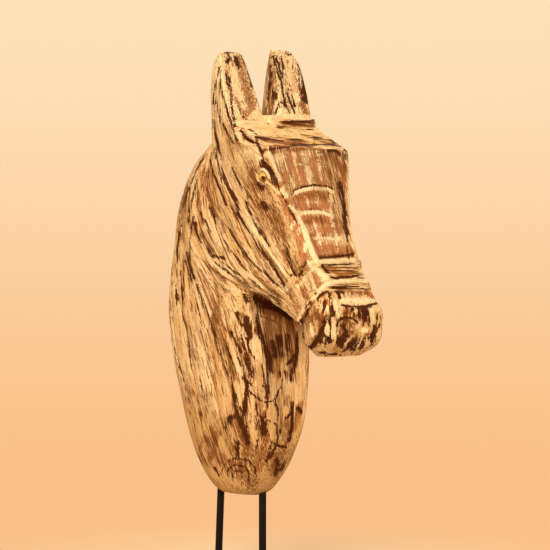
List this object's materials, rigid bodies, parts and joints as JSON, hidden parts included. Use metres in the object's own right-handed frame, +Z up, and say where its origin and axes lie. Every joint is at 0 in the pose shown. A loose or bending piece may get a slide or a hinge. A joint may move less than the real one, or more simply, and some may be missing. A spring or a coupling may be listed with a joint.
{
  "type": "horse head sculpture",
  "caption": "Carved limewashed wooden horse head with a long neck, held upright by two slim steel rods on a flat rectangular base plate.",
  "frame": {"origin": "centre of the base plate's underside", "axes": "+X the way the horse's face points, +Y the horse's left, +Z up"},
  "size_m": [0.3457, 0.16, 0.7386],
  "materials": {
    "limed_wood": "cream limewash rubbed back to brown wood along the carving",
    "amber_glass": "polished amber cabochon with a dark pupil",
    "black_steel": "flat black paint"
  },
  "bodies": {
    "root": {"horse_head": "limed_wood", "eye_left": "amber_glass", "eye_right": "amber_glass", "rod_front": "black_steel", "rod_rear": "black_steel", "base_plate": "black_steel"}
  },
  "joints": []
}
